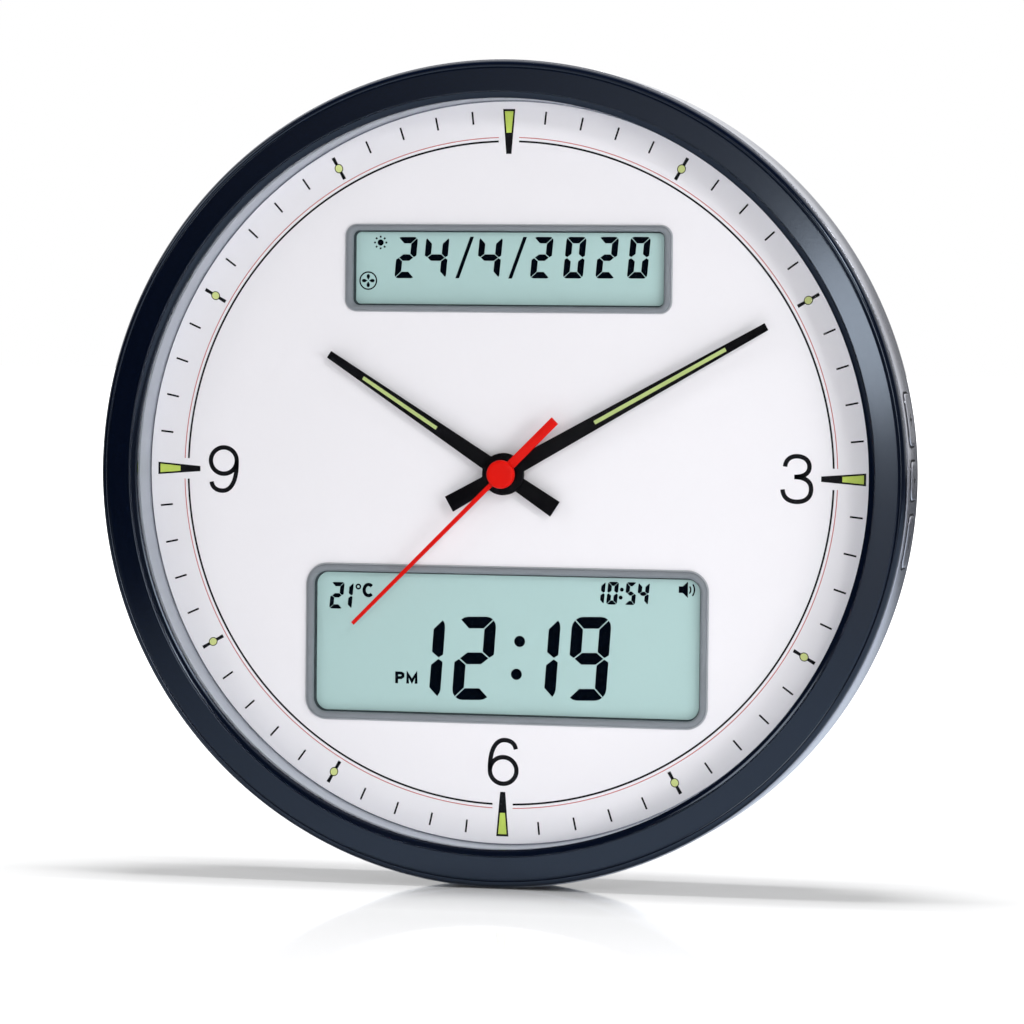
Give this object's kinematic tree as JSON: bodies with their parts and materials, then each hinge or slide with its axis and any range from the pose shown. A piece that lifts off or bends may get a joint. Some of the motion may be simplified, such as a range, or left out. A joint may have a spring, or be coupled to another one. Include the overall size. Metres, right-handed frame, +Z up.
{
  "type": "wall clock",
  "caption": "Round wall clock with hands, two liquid crystal displays set in its dial, side push buttons and a speaker in its back cover.",
  "frame": {"origin": "where the clock's centre axis meets the wall that the flat back of the cover lies on", "axes": "+Y into the wall, so the dial faces -Y; +Z up to 12 o'clock; +X to the viewer's right, where the buttons are"},
  "size_m": [0.3008, 0.0439, 0.3002],
  "materials": {
    "bezel_plastic": "dark blue-black moulded plastic, satin gloss",
    "clear_lens": "clear polished sheet",
    "light_grey_plastic": "matt light grey plastic",
    "dial_white": "white lacquer on sheet aluminium",
    "silver_plastic": "silver painted plastic",
    "cover_plastic": "grey plastic with a fine grain",
    "zinc_steel": "bright zinc-plated steel",
    "frame_grey": "satin mid grey plastic",
    "display_glass": "grey-green liquid crystal cell with a matt polariser",
    "circuit_board": "green solder mask on glass fibre board",
    "dark_plastic": "black moulded plastic",
    "cell_skin": "plain printed sleeve on a steel can",
    "cone_paper": "pressed dark paper",
    "magnet_ferrite": "dark sintered ferrite",
    "brass": "turned brass",
    "hand_black": "satin black enamel on sheet aluminium",
    "lume_green": "pale green luminous paint",
    "hand_red": "red enamel"
  },
  "bodies": {
    "case": {"front_bezel": "bezel_plastic", "lens": "clear_lens", "inner_ring": "light_grey_plastic", "dial": "dial_white", "case_body": "silver_plastic", "back_cover": "cover_plastic", "hanger_plate": "zinc_steel", "upper_display_frame": "frame_grey", "upper_display": "display_glass", "upper_display_board": "circuit_board", "lower_display_frame": "frame_grey", "lower_display": "display_glass", "lower_display_board": "circuit_board", "switch_upper": "dark_plastic", "switch_middle": "dark_plastic", "switch_lower": "dark_plastic", "switch_board": "circuit_board", "battery_1": "cell_skin", "battery_2": "cell_skin", "battery_3": "cell_skin", "contact_link_upper": "zinc_steel", "contact_tab_upper": "zinc_steel", "contact_tab_lower": "zinc_steel", "contact_link_lower": "zinc_steel", "speaker_basket": "zinc_steel", "speaker_cone": "cone_paper", "speaker_magnet": "magnet_ferrite", "movement_housing": "dark_plastic", "movement_nut": "brass", "case_screw_1": "zinc_steel", "case_screw_2": "zinc_steel", "case_screw_3": "zinc_steel", "case_screw_4": "zinc_steel", "case_screw_5": "zinc_steel", "case_screw_6": "zinc_steel"},
    "hour": {"hour_hand": "hand_black", "hour_lume": "lume_green", "hour_tube": "brass"},
    "minute": {"minute_hand": "hand_black", "minute_lume": "lume_green", "minute_tube": "brass"},
    "second": {"second_hand": "hand_red", "second_cap": "hand_red", "second_shaft": "zinc_steel"},
    "knob": {"setting_knob": "dark_plastic"},
    "upper_button": {"button_upper": "silver_plastic"},
    "middle_button": {"button_middle": "silver_plastic"},
    "lower_button": {"button_lower": "silver_plastic"},
    "door": {"battery_door": "cover_plastic"}
  },
  "joints": [
    {"name": "second_spin", "type": "hinge", "parent": "case", "child": "second", "pos_m": [0, -0.034, 0], "axis": [0, 1, 0], "continuous": true},
    {"name": "minute_spin", "type": "hinge", "parent": "case", "child": "minute", "pos_m": [0, -0.0318, 0], "axis": [0, 1, 0], "continuous": true},
    {"name": "hour_spin", "type": "hinge", "parent": "case", "child": "hour", "pos_m": [0, -0.0304, 0], "axis": [0, 1, 0], "continuous": true},
    {"name": "knob_spin", "type": "hinge", "parent": "case", "child": "knob", "pos_m": [0, -0.0044, -0.018], "axis": [0, 1, 0], "continuous": true},
    {"name": "upper_button_press", "type": "slide", "parent": "case", "child": "upper_button", "axis": [-1, 0, 0], "range_m": [0, 0.0008], "stiffness_N_per_m": 400, "springref_m": -0.001},
    {"name": "middle_button_press", "type": "slide", "parent": "case", "child": "middle_button", "axis": [-1, 0, 0], "range_m": [0, 0.0008], "stiffness_N_per_m": 400, "springref_m": -0.001},
    {"name": "lower_button_press", "type": "slide", "parent": "case", "child": "lower_button", "axis": [-1, 0, 0], "range_m": [0, 0.0008], "stiffness_N_per_m": 400, "springref_m": -0.001},
    {"name": "battery_door_off", "type": "slide", "parent": "case", "child": "door", "axis": [0, 1, 0], "range_m": [0, 0.02]}
  ],
  "couplings": [
    {"joint": "minute_spin", "follows": "second_spin", "ratio": 0.016667},
    {"joint": "hour_spin", "follows": "second_spin", "ratio": 0.0013889},
    {"joint": "knob_spin", "follows": "second_spin", "ratio": -0.05}
  ]
}
